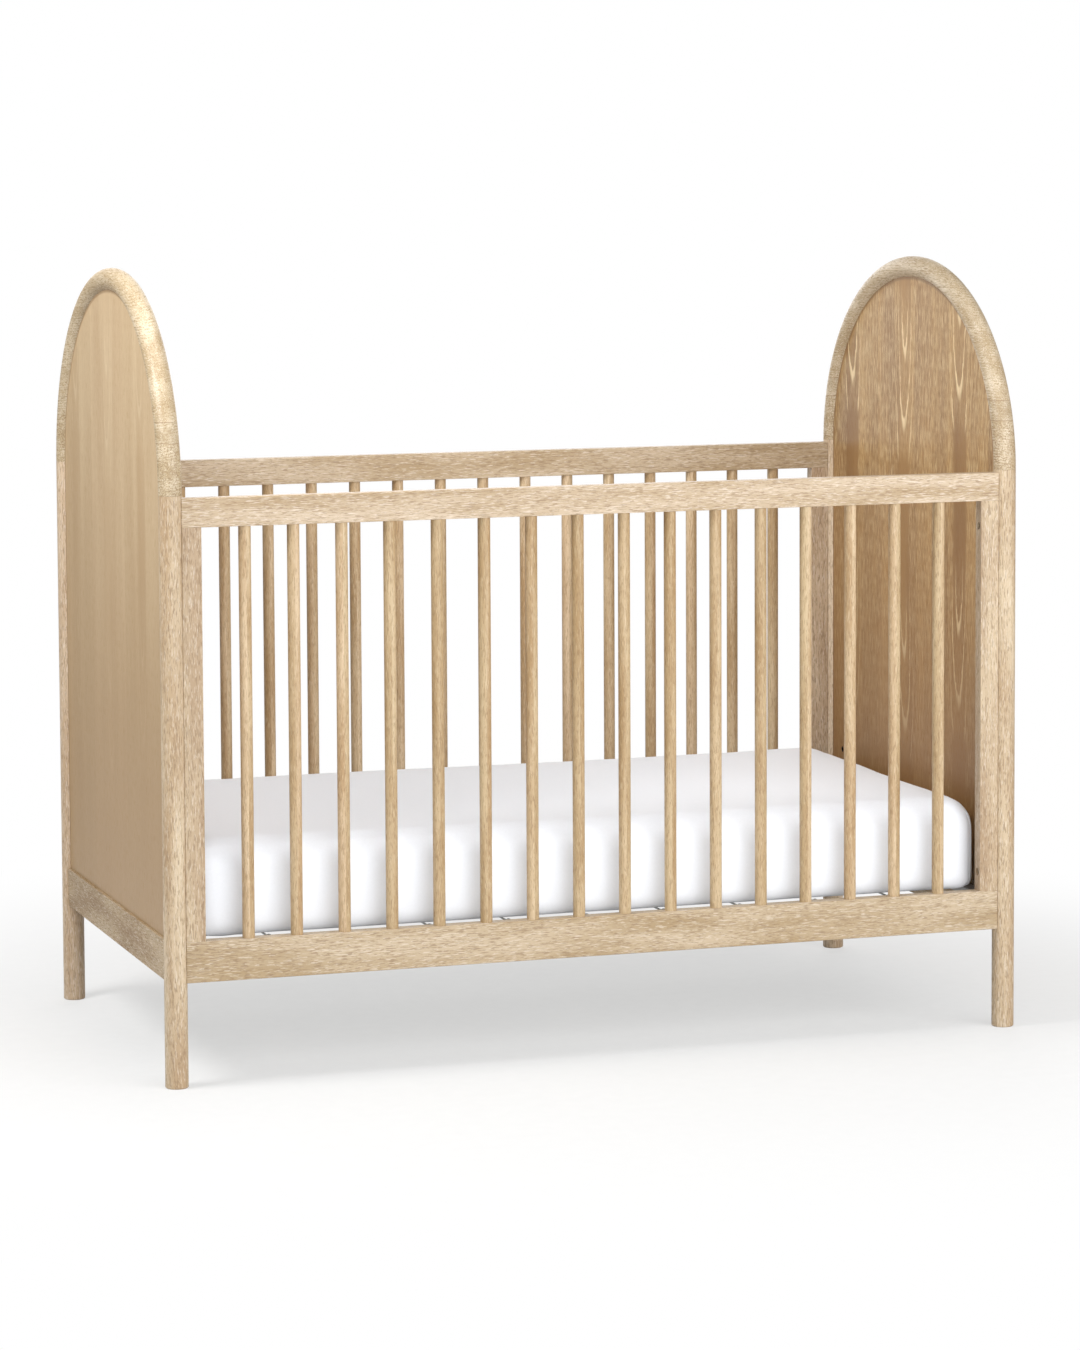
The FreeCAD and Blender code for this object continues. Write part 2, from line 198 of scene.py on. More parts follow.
@dataclass(frozen=True)
class Oak:
    """Limed oak cut from the solid: growth rings, open pores and flecks of lime."""

    name: str
    grain: Grain
    light: str = "d3c1a8"
    dark: str = "b39b7f"
    pore: str = "856a4e"
    lime: str = "e9dfd2"
    ring_width: float = 6.5 * MM
    ring_depth: float = 0.22
    pore_depth: float = 0.55
    lime_depth: float = 0.4
    tone_step: float = 0.06
    tone_cell: tuple[float, float, float] = (0.07, 0.5, 50.0)
    heart: tuple[float, float] = (0.11, 0.19)
    sway: float = 0.03
    roughness: float = 0.4

    def fibres(self, tree: Tree) -> tuple[Socket, Socket, Socket, Socket]:
        """Read the place on the piece, turned so that the last value runs along the fibres."""
        place = tree.add("ShaderNodeTexCoord").outputs["Object"]
        parts = tree.split(place)
        across, over, along = (parts[i] for i in self.grain.value)
        return place, across, over, along

    def board_tone(self, tree: Tree, place: Socket) -> Socket:
        """A steady random value for each board, by the cell of space that it stands in."""
        cells = tree.vector("DIVIDE", place, self.tone_cell)
        whole = tree.vector("FLOOR", tree.vector("ADD", cells, (0.5, 0.5, 0.5)))
        return tree.add("ShaderNodeTexWhiteNoise", {"Vector": whole}, noise_dimensions="3D").outputs["Value"]

    def streaks(self, tree: Tree, cut: tuple[Socket, Socket, Socket], across: float, along: float,
                shift: float = 0.0, roughness: float = 0.6) -> Socket:
        """Noise drawn out along the fibres.

        Args:
            tree: The material's tree.
            cut: Place across, over and along the fibres.
            across: How many streaks stand side by side in a metre.
            along: How many follow one another in a metre.
            shift: Moves the pattern along, so that two sets differ.
            roughness: How much of the finer detail shows.

        Returns:
            A value about a half.
        """
        place = tree.join(tree.math("MULTIPLY", cut[0], across), tree.math("MULTIPLY", cut[1], across),
                          tree.math("MULTIPLY_ADD", cut[2], along, shift))
        return tree.noise(place, detail=2.0, roughness=roughness).outputs["Fac"]

    def rings(self, tree: Tree, cut: tuple[Socket, Socket, Socket]) -> Socket:
        """How far into a growth ring's porous part a place is, from 0 to 1."""
        from_heart = [tree.math("SUBTRACT", cut[i], self.heart[i]) for i in (0, 1)]
        squares = [tree.math("MULTIPLY", value, value) for value in from_heart]
        radius = tree.math("SQRT", tree.math("ADD", *squares))
        ring = tree.math("FRACT", tree.math("DIVIDE", tree.math("MULTIPLY_ADD", cut[2], 0.02, radius),
                                            self.ring_width))
        return tree.math("MULTIPLY", tree.fit(ring, 0.0, 0.2), tree.fit(ring, 0.95, 0.4))

    def figure(self, tree: Tree, cut: tuple[Socket, Socket, Socket]) -> tuple[Socket, Socket, Socket, Socket]:
        """Work out the wood's figure.

        Args:
            tree: The material's tree.
            cut: Place across, over and along the fibres.

        Returns:
            Ring, pore, lime fleck and slow cloud, each 0 to 1.
        """
        slow = tree.noise(tree.join(tree.math("MULTIPLY", cut[0], 7.0), tree.math("MULTIPLY", cut[1], 7.0),
                                    tree.math("MULTIPLY", cut[2], 1.8)), detail=1.0)
        sway_x, sway_y, _ = tree.split(tree.vector("SUBTRACT", slow.outputs["Color"], (0.5, 0.5, 0.5)))
        cut = (tree.math("MULTIPLY_ADD", sway_x, self.sway, cut[0]),
               tree.math("MULTIPLY_ADD", sway_y, self.sway, cut[1]), cut[2])
        gaps = tree.fit(self.streaks(tree, cut, 150.0, 14.0, 2.3), 0.4, 0.6)
        early = tree.math("MULTIPLY", self.rings(tree, cut), gaps)
        grit = self.streaks(tree, cut, 680.0, 80.0)
        pore = tree.fit(tree.math("MULTIPLY_ADD", early, 0.03, grit), 0.54, 0.62)
        lime = tree.fit(self.streaks(tree, cut, 600.0, 66.0, 13.7), 0.54, 0.64)
        cloud = self.streaks(tree, cut, 34.0, 4.0, 5.1, 0.5)
        return early, pore, lime, cloud

    def colours(self, tree: Tree, figure: tuple[Socket, Socket, Socket, Socket]) -> Socket:
        """Mix the wood's colour from its figure."""
        early, pore, lime, cloud = figure
        base = tree.blend(tree.fit(cloud, 0.25, 0.75), paint(self.light), paint(self.dark))
        base = tree.blend(tree.math("MULTIPLY", early, self.ring_depth), base, paint(self.dark))
        base = tree.blend(tree.math("MULTIPLY", lime, self.lime_depth), base, paint(self.lime))
        return tree.blend(tree.math("MULTIPLY", pore, self.pore_depth), base, paint(self.pore))

    def toned(self, tree: Tree, colour: Socket, tone: Socket) -> Socket:
        """Shift a board's colour by its random tone: lighter and greyer, or darker and warmer."""
        shift = tree.math("MULTIPLY_ADD", tone, 2 * self.tone_step, 1.0 - self.tone_step)
        blue = tree.math("MULTIPLY_ADD", tone, 3 * self.tone_step, 1.0 - 1.5 * self.tone_step)
        return tree.blend(1.0, colour, tree.join(shift, shift, blue), "MULTIPLY")

    def extra(self, tree: Tree, colour: Socket, place: Socket) -> Socket:
        """Let a kind of oak add to its colour by place; plain oak adds nothing."""
        return colour

    def surface(self, tree: Tree, shader: bpy.types.Node, colour: Socket, pore: Socket) -> None:
        """Set the shader's colour, open pores and satin gloss."""
        tree.feed(shader.inputs["Base Color"], colour)
        bump = tree.add("ShaderNodeBump", {"Strength": 0.3, "Distance": 0.15 * MM,
                                           "Height": tree.math("MULTIPLY", pore, -1.0)})
        tree.feed(shader.inputs["Normal"], bump.outputs[0])
        tree.feed(shader.inputs["Roughness"], tree.math("MULTIPLY_ADD", pore, 0.2, self.roughness))
        shader.inputs["IOR"].default_value = 1.46

    def material(self) -> bpy.types.Material:
        """Build the material."""
        material, tree, shader = new_material(self.name)
        place, across, over, along = self.fibres(tree)
        tone = self.board_tone(tree, place)
        figure = self.figure(tree, (across, over, tree.math("MULTIPLY_ADD", tone, 3.0, along)))
        colour = self.extra(tree, self.colours(tree, figure), place)
        self.surface(tree, shader, self.toned(tree, colour, tone), figure[1])
        return material


@dataclass(frozen=True)
class ArchOak(Oak):
    """Oak for an arch glued up of blocks: each has its tone and glue line, the lowest is speckled."""

    joint_heights: tuple[float, ...] = ()
    block_tones: tuple[float, ...] = (0.95, 1.07)
    line_width: float = 0.6 * MM
    line_colour: str = "86694a"
    speck_size: float = 2.4 * MM
    speck_depth: float = 0.55
    line_depth: float = 0.7

    def extra(self, tree: Tree, colour: Socket, place: Socket) -> Socket:
        """Speckle the lowest block, draw the glue lines and change the tone from block to block."""
        _, _, height = tree.split(place)
        dots = tree.fit(tree.noise(place, 1.0 / self.speck_size, 1.0).outputs["Fac"], 0.54, 0.62)
        below = tree.math("LESS_THAN", height, self.joint_heights[0])
        colour = tree.blend(tree.math("MULTIPLY", tree.math("MULTIPLY", dots, below), self.speck_depth),
                            colour, paint(self.pore))
        for joint, tone in zip(self.joint_heights, self.block_tones):
            above = tree.math("GREATER_THAN", height, joint)
            colour = tree.blend(above, colour, tree.blend(1.0, colour, (tone, tone, tone, 1.0), "MULTIPLY"))
            off = tree.math("ABSOLUTE", tree.math("SUBTRACT", height, joint))
            line = tree.fit(off, self.line_width, self.line_width * 0.4)
            colour = tree.blend(tree.math("MULTIPLY", line, self.line_depth), colour, paint(self.line_colour))
        return colour


@dataclass(frozen=True)
class Veneer(Oak):
    """Crown-cut oak leaves laid side by side on a board, more figured inside, where its darker colour is partly the
    veneer and partly painted shade of the crib's interior; painted shade also darkens the board towards its foot and
    along the arch and posts round it.
    """

    leaf_width: float = 0.228
    leaf_start: float = -0.085
    middle: float = 0.0
    crown_width: float = 0.027
    crown_pitch: float = 0.5
    crown_start: float = 0.45
    crown_depth: float = 0.055
    ripple_height: float = 0.011
    drift_width: float = 0.03
    outside_strength: float = 0.4
    # how much of the painted shade towards the foot the inside face takes
    inside_foot_shade_share: float = 0.95
    # strength of the painted shade along the arch and posts round the board
    edge_shade_depth: float = 0.55
    # inside palette: a darker, more figured veneer, darkened further as painted shade of the crib's interior
    inside: tuple[str, str, str, str] = ("b68f59", "86613a", "74532f", "ecd3a6")
    # painted shade: the board darkens towards its foot, where less light falls
    painted_foot_shade: float = 0.8
    arch: tuple[float, float, float] = (0.3425, 0.2905, 0.888)
    # width of that painted shade line
    edge_shade_width: float = 5 * MM

    def leaf(self, tree: Tree, across: Socket) -> tuple[Socket, Socket]:
        """Return the place within a leaf, from its middle, and the leaf's random value."""
        count = tree.math("DIVIDE", tree.math("SUBTRACT", across, self.leaf_start), self.leaf_width)
        within = tree.math("MULTIPLY", tree.math("SUBTRACT", tree.math("FRACT", count), 0.5), self.leaf_width)
        chance = tree.add("ShaderNodeTexWhiteNoise", {"W": tree.math("FLOOR", count)},
                          noise_dimensions="1D").outputs["Value"]
        return within, chance

    def crown(self, tree: Tree, within: Socket, chance: Socket, height: Socket) -> tuple[Socket, Socket]:
        """Rings of a leaf sliced close to the heart, nested in points that face down at its middle.

        Returns:
            The porous part of a ring, 0 to 1, and how far a place is out in the straight grain, 0 to 1.
        """
        phase = tree.math("FRACT", tree.math("ADD", tree.math("MULTIPLY_ADD", chance, 0.31, self.crown_start),
                                                tree.math("DIVIDE", height, self.crown_pitch)))
        along = tree.math("MULTIPLY_ADD", chance, 9.0, height)
        drift = tree.noise(tree.join(tree.math("MULTIPLY", within, 3.0), chance, tree.math("MULTIPLY", along, 3.0)),
                           detail=2.0).outputs["Fac"]
        ripple = tree.noise(tree.join(tree.math("MULTIPLY", within, 110.0), 3.0, tree.math("MULTIPLY", along, 30.0)),
                            detail=3.0, roughness=0.7).outputs["Fac"]
        across = tree.math("MULTIPLY_ADD", tree.math("SUBTRACT", ripple, 0.5), self.ripple_height,
                           tree.math("MULTIPLY_ADD", tree.math("SUBTRACT", drift, 0.5), self.drift_width, within))
        depth = tree.math("MULTIPLY", tree.math("SUBTRACT", 1.0, phase), self.crown_depth)
        radius = tree.math("SQRT", tree.math("ADD", tree.math("MULTIPLY", across, across),
                                             tree.math("MULTIPLY", depth, depth)))
        ring = tree.math("FRACT", tree.math("DIVIDE", radius, self.ring_width))
        shown = tree.math("MULTIPLY", tree.fit(phase, 0.36, 0.42), tree.fit(phase, 1.0, 0.8))
        worn = tree.fit(tree.noise(tree.join(tree.math("MULTIPLY", within, 500.0), 7.0,
                                             tree.math("MULTIPLY", along, 20.0))).outputs["Fac"], 0.28, 0.46)
        early = tree.math("MULTIPLY", tree.math("MULTIPLY", tree.fit(ring, 0.0, 0.06), tree.fit(ring, 0.3, 0.1)),
                          tree.math("MULTIPLY", shown, worn))
        near = tree.fit(tree.math("ABSOLUTE", across), self.crown_width * 1.5, self.crown_width * 0.8, 0.3, 1.0)
        early = tree.math("MULTIPLY", early, near)
        flank = tree.fit(tree.math("ABSOLUTE", across), self.crown_width * 0.8, self.crown_width * 1.1)
        flank = tree.math("MAXIMUM", flank, tree.math("MULTIPLY", shown, 0.55))
        return early, flank

    def edge(self, tree: Tree, y: Socket, z: Socket) -> Socket:
        """How close a place is to the arch or posts round the board, where painted shade darkens the corner, 0 to 1.
        """
        half, rise, seam = self.arch
        above = tree.math("MAXIMUM", tree.math("SUBTRACT", z, seam), 0.0)
        out = tree.math("DIVIDE", y, half)
        up = tree.math("DIVIDE", above, rise)
        reach = tree.math("SQRT", tree.math("ADD", tree.math("MULTIPLY", out, out), tree.math("MULTIPLY", up, up)))
        return tree.fit(reach, 1.0 - self.edge_shade_width / rise, 1.0 - 0.2 * self.edge_shade_width / rise)

    def face(self, tree: Tree, figure: tuple[Socket, Socket, Socket, Socket, Socket],
             palette: tuple[str, str, str, str], strength: float) -> Socket:
        """Colour one face of the board.

        Args:
            tree: The material's tree.
            figure: Ring, straight grain, pore, lime and cloud.
            palette: Light, dark, pore and lime colours.
            strength: How clearly the figure shows.

        Returns:
            The face's colour.
        """
        early, flank, pore, lime, cloud = figure
        light, dark, hole, white = (paint(code) for code in palette)
        base = tree.blend(tree.math("MULTIPLY", tree.fit(cloud, 0.25, 0.75), 0.3 + 0.5 * strength), light, dark)
        smooth = tree.math("MULTIPLY", tree.math("SUBTRACT", 1.0, flank), 0.4 * strength)
        base = tree.blend(smooth, base, dark)
        base = tree.blend(tree.math("MULTIPLY", tree.math("MULTIPLY", pore, flank), self.pore_depth * strength),
                          base, hole)
        speck = tree.math("MULTIPLY", lime, tree.math("MULTIPLY_ADD", flank, 0.62, 0.05))
        line = tree.math("MULTIPLY", early, 1.1)
        share = tree.math("MULTIPLY", tree.math("MAXIMUM", speck, line), self.lime_depth * strength, clamp=True)
        return tree.blend(share, base, white)

    def material(self) -> bpy.types.Material:
        """Build the material with its leaves and its two faces."""
        material, tree, shader = new_material(self.name)
        place = tree.add("ShaderNodeTexCoord").outputs["Object"]
        x, y, z = tree.split(place)
        within, chance = self.leaf(tree, y)
        early, flank = self.crown(tree, within, chance, z)
        cut = (y, tree.math("MULTIPLY", x, 0.0), tree.math("MULTIPLY_ADD", chance, 7.0, z))
        pore = tree.fit(self.streaks(tree, cut, 620.0, 60.0), 0.53, 0.62)
        lime = tree.fit(self.streaks(tree, cut, 620.0, 30.0, 13.7, 0.7), 0.5, 0.6)
        cloud = self.streaks(tree, cut, 20.0, 1.8, 5.1, 0.5)
        figure = (early, flank, pore, lime, cloud)
        outer = self.face(tree, figure, (self.light, self.dark, self.pore, self.lime),
                          self.outside_strength)
        # painted shade: both faces darken towards the foot of the board
        painted_foot_share = tree.math("MULTIPLY", tree.fit(z, 1.05, 0.25), self.painted_foot_shade)
        outer = tree.blend(painted_foot_share, outer, paint(self.dark))
        # the inside face: its own veneer, in darker colours that are partly painted shade of the crib's interior
        inner_veneer_and_shade = tree.blend(tree.math("MULTIPLY", painted_foot_share, self.inside_foot_shade_share), self.face(tree, figure, self.inside, 1.0),
                           paint(self.inside[1]))
        facing_in = tree.math("LESS_THAN", tree.math("ABSOLUTE", x), self.middle)
        colour = self.toned(tree, tree.blend(facing_in, outer, inner_veneer_and_shade), chance)
        # painted shade: a dark line where the board runs into the arch and posts
        painted_edge_shade = tree.math("MULTIPLY", self.edge(tree, y, z), self.edge_shade_depth)
        colour = tree.blend(painted_edge_shade, colour, paint(self.inside[2]))
        self.surface(tree, shader, colour, tree.math("MULTIPLY", pore, 0.6))
        return material


@dataclass(frozen=True)
class Steel:
    """Coated or plated steel with a fine orange-peel or drawn surface."""

    name: str
    colour: str
    metallic: float
    roughness: float
    grit: float = 900.0

    def material(self) -> bpy.types.Material:
        """Build the material."""
        material, tree, shader = new_material(self.name)
        place = tree.add("ShaderNodeTexCoord").outputs["Object"]
        peel = tree.noise(place, self.grit, 2.0).outputs["Fac"]
        wear = tree.noise(place, 14.0, 4.0).outputs["Fac"]
        base = paint(self.colour)
        worn = tuple(c * 0.8 for c in base[:3]) + (1.0,)
        tree.feed(shader.inputs["Base Color"], tree.blend(tree.fit(wear, 0.4, 0.75), base, worn))
        tree.feed(shader.inputs["Roughness"], tree.fit(wear, 0.3, 0.75, self.roughness, self.roughness + 0.12))
        bump = tree.add("ShaderNodeBump", {"Strength": 0.2, "Distance": 0.1 * MM, "Height": peel})
        tree.feed(shader.inputs["Normal"], bump.outputs[0])
        shader.inputs["Metallic"].default_value = self.metallic
        return material


@dataclass(frozen=True)
class Cloth:
    """Plain-woven cotton or ticking, read in the piece's own place."""

    name: str
    colour: str
    thread: float = 0.7 * MM
    shade: float = 0.05
    relief: float = 0.15
    stripe: float = 0.0

    def material(self) -> bpy.types.Material:
        """Build the material."""
        material, tree, shader = new_material(self.name)
        place = tree.add("ShaderNodeTexCoord").outputs["Object"]
        x, y, z = tree.split(place)
        turns = 2 * math.pi / self.thread
        warp = tree.math("SINE", tree.math("MULTIPLY", tree.math("ADD", x, z), turns))
        weft = tree.math("SINE", tree.math("MULTIPLY", tree.math("SUBTRACT", y, z), turns))
        weave = tree.math("MULTIPLY_ADD", tree.math("MULTIPLY", warp, weft), 0.5, 0.5)
        slub = tree.noise(place, 260.0, 3.0).outputs["Fac"]
        base = paint(self.colour)
        shaded = tuple(c * (1 - self.shade) for c in base[:3]) + (1.0,)
        colour = tree.blend(tree.math("MULTIPLY", weave, tree.fit(slub, 0.2, 0.8)), base, shaded)
        if self.stripe:
            band = tree.math("FRACT", tree.math("DIVIDE", y, self.stripe))
            line = tree.math("MULTIPLY", tree.fit(band, 0.42, 0.45), tree.fit(band, 0.55, 0.52))
            colour = tree.blend(line, colour, tuple(c * 0.8 for c in base[:3]) + (1.0,))
        tree.feed(shader.inputs["Base Color"], colour)
        height = tree.math("MULTIPLY_ADD", slub, 0.6, weave)
        bump = tree.add("ShaderNodeBump", {"Strength": self.relief, "Distance": 0.15 * MM, "Height": height})
        tree.feed(shader.inputs["Normal"], bump.outputs[0])
        shader.inputs["Roughness"].default_value = 0.9
        shader.inputs["Sheen Weight"].default_value = 0.2
        shader.inputs["Sheen Roughness"].default_value = 0.5
        shader.inputs["Specular IOR Level"].default_value = 0.25
        return material


# ---- mesh helpers ----------------------------------------------------------


def new_piece(name: str, mesh: bpy.types.Mesh, material: bpy.types.Material) -> bpy.types.Object:
    """Link a mesh to the scene as one piece with one material."""
    piece = bpy.data.objects.new(name, mesh)
    bpy.context.scene.collection.objects.link(piece)
    mesh.materials.clear()
    mesh.materials.append(material)
    return piece


def mesh_from(build: Callable[[bmesh.types.BMesh], None], name: str) -> bpy.types.Mesh:
    """Make a mesh with a function that fills a bmesh, its faces turned outwards."""
    mesh = bpy.data.meshes.new(name)
    form = bmesh.new()
    build(form)
    bmesh.ops.recalc_face_normals(form, faces=form.faces)
    form.to_mesh(mesh)
    form.free()
    return mesh


def applied(piece: bpy.types.Object) -> None:
    """Replace a piece's mesh by what its modifiers make of it, and remove them."""
    depsgraph = bpy.context.evaluated_depsgraph_get()
    made = bpy.data.meshes.new_from_object(piece.evaluated_get(depsgraph), depsgraph=depsgraph)
    piece.modifiers.clear()
    piece.data = made


def dress(piece: bpy.types.Object, material: bpy.types.Material) -> None:
    """Give a CAD piece its material."""
    for holder in piece.material_slots:
        holder.material = material


class Repeater:
    """Geometry Nodes that put a small made shape at every point of a mesh."""

    def __init__(self, name: str, sizes: dict[str, float]) -> None:
        """Start a tree whose inputs are the sizes and a material.

        Args:
            name: The tree's name.
            sizes: Each size's name and default value.
        """
        self.group = bpy.data.node_groups.new(name, "GeometryNodeTree")
        self.tree = Tree(self.group)
        socket = self.group.interface.new_socket
        socket("Geometry", in_out="INPUT", socket_type="NodeSocketGeometry")
        for size, value in sizes.items():
            socket(size, in_out="INPUT", socket_type="NodeSocketFloat").default_value = value
        socket("Material", in_out="INPUT", socket_type="NodeSocketMaterial")
        socket("Geometry", in_out="OUTPUT", socket_type="NodeSocketGeometry")
        self.inputs = self.tree.add("NodeGroupInput")
        self.output = self.tree.add("NodeGroupOutput")

    def size(self, name: str) -> Socket:
        """Return the socket of a named size."""
        return self.inputs.outputs[name]

    def tube(self, curve: Socket, radius: Socket, sides: int) -> Socket:
        """Sweep a round section along a curve, closed at its ends."""
        section = self.tree.add("GeometryNodeCurvePrimitiveCircle", {"Resolution": sides, "Radius": radius})
        swept = self.tree.add("GeometryNodeCurveToMesh", {"Curve": curve, "Profile Curve": section.outputs[0],
                                                          "Fill Caps": True})
        return swept.outputs[0]

    def moved(self, geometry: Socket, shift: Socket, turn: tuple[float, float, float] = (0, 0, 0)) -> Socket:
        """Shift and turn a geometry."""
        node = self.tree.add("GeometryNodeTransform", {"Geometry": geometry, "Translation": shift, "Rotation": turn})
        return node.outputs[0]

    def finish(self, shape: Socket, along: str) -> None:
        """Put the shape at every point, its Z along the named vector, and close the tree."""
        smooth = self.tree.add("GeometryNodeSetShadeSmooth", {"Geometry": shape}).outputs[0]
        axis = self.tree.add("GeometryNodeInputNamedAttribute", {"Name": along}, data_type="FLOAT_VECTOR")
        turn = self.tree.add("FunctionNodeAlignRotationToVector", {"Vector": axis.outputs["Attribute"]}, axis="Z")
        placed = self.tree.add("GeometryNodeInstanceOnPoints", {
            "Points": self.inputs.outputs["Geometry"], "Instance": smooth, "Rotation": turn.outputs[0]})
        real = self.tree.add("GeometryNodeRealizeInstances", {"Geometry": placed.outputs[0]})
        done = self.tree.add("GeometryNodeSetMaterial", {"Geometry": real.outputs[0],
                                                         "Material": self.inputs.outputs["Material"]})
        self.tree.feed(self.output.inputs[0], done.outputs[0])

    def run(self, name: str, points: Iterable[tuple[Vector, Vector]], sizes: dict[str, float],
            material: bpy.types.Material) -> bpy.types.Object:
        """Make one piece from a list of places and directions.

        Args:
            name: The piece's name.
            points: Each shape's place and the direction of its Z.
            sizes: Values for the named sizes.
            material: The piece's material.

        Returns:
            A plain mesh piece.
        """
        places = list(points)
        mesh = bpy.data.meshes.new(name)
        mesh.from_pydata([place for place, _ in places], [], [])
        heading = mesh.attributes.new("heading", "FLOAT_VECTOR", "POINT")
        heading.data.foreach_set("vector", [value for _, run in places for value in run])
        piece = new_piece(name, mesh, material)
        modifier = piece.modifiers.new("repeat", "NODES")
        modifier.node_group = self.group
        for item in self.group.interface.items_tree:
            if item.in_out == "INPUT" and item.name in sizes:
                modifier[item.identifier] = sizes[item.name]
            elif item.in_out == "INPUT" and item.name == "Material":
                modifier[item.identifier] = material
        applied(piece)
        return piece


# ---- wooden pieces ---------------------------------------------------------


@dataclass
class Woodwork:
    """The crib's wooden pieces, each dressed with oak cut the way that its board is."""

    nodes: dict[str, bpy.types.Object]
    seam_height: float
    panel_middle: float
    joint_lifts: tuple[float, float] = (77 * MM, 108 * MM)
    finishes: dict[str, bpy.types.Material] = field(default_factory=dict)

    def make_finishes(self) -> None:
        """Build one material for each way of cutting the oak."""
        joints = tuple(self.seam_height + lift for lift in self.joint_lifts)
        end_cell = (0.9, 0.5, 50.0)
        kinds = {
            "post": Oak("oak_post", Grain.Z, light="d4c1a6", dark="b4997a", tone_cell=end_cell,
                        heart=(0.35, 0.27), ring_width=5 * MM),
            "stile": Oak("oak_stile", Grain.Z, light="d0bca0", dark="b0967a", tone_cell=end_cell, heart=(0.2, 0.5)),
            "spindle": Oak("oak_spindle", Grain.Z, tone_cell=(0.0747, 0.5, 50.0), heart=(0.3, 0.52),
                           light="cdb694", dark="ab8d66", pore="80613e", lime="e2d1b4", pore_depth=0.4,
                           lime_depth=0.3, tone_step=0.08),
            "rail": Oak("oak_rail", Grain.X, light="c5b298", dark="a78f6c", tone_cell=(50.0, 0.5, 0.3),
                        heart=(0.45, 0.6)),
            "end_rail": Oak("oak_end_rail", Grain.Y, tone_cell=(0.9, 50.0, 50.0), heart=(0.62, 0.14),
                            light="bba482", dark="967850", ring_width=9 * MM, ring_depth=0.5),
            "arch": ArchOak("oak_arch", Grain.Y, light="cdbda3", dark="ab9574", lime="e8dfce", pore="846a47",
                            tone_cell=(0.9, 50.0, 50.0), heart=(0.0, -3.0), ring_width=4.2 * MM, ring_depth=0.8, sway=0.01,
                            joint_heights=joints),
            "panel": Veneer("oak_veneer", Grain.Z, light="c9b08c", dark="a88861", pore="9c7f5a", lime="e0ccab",
                            ring_width=13 * MM, lime_depth=0.85, pore_depth=0.55, tone_step=0.03,
                            middle=self.panel_middle),
        }
        self.finishes = {kind: finish.material() for kind, finish in kinds.items()}

    def finish_of(self, node: str) -> bpy.types.Material | None:
        """Pick the finish of a wooden node by the board that it is."""
        if "_end_rail" in node:
            return self.finishes["end_rail"]
        for kind in ("post", "stile", "spindle", "rail", "arch", "panel"):
            if "_" + kind in node:
                return self.finishes[kind]
        return None

    def build(self) -> None:
        """Dress every wooden node."""
        self.make_finishes()
        for name, node in self.nodes.items():
            finish = self.finish_of(name)
            if finish is not None:
                dress(node, finish)
        dress(self.nodes["arch_dowels"], self.finishes["spindle"])
        log.info("woodwork dressed")


# ---- steel pieces ----------------------------------------------------------


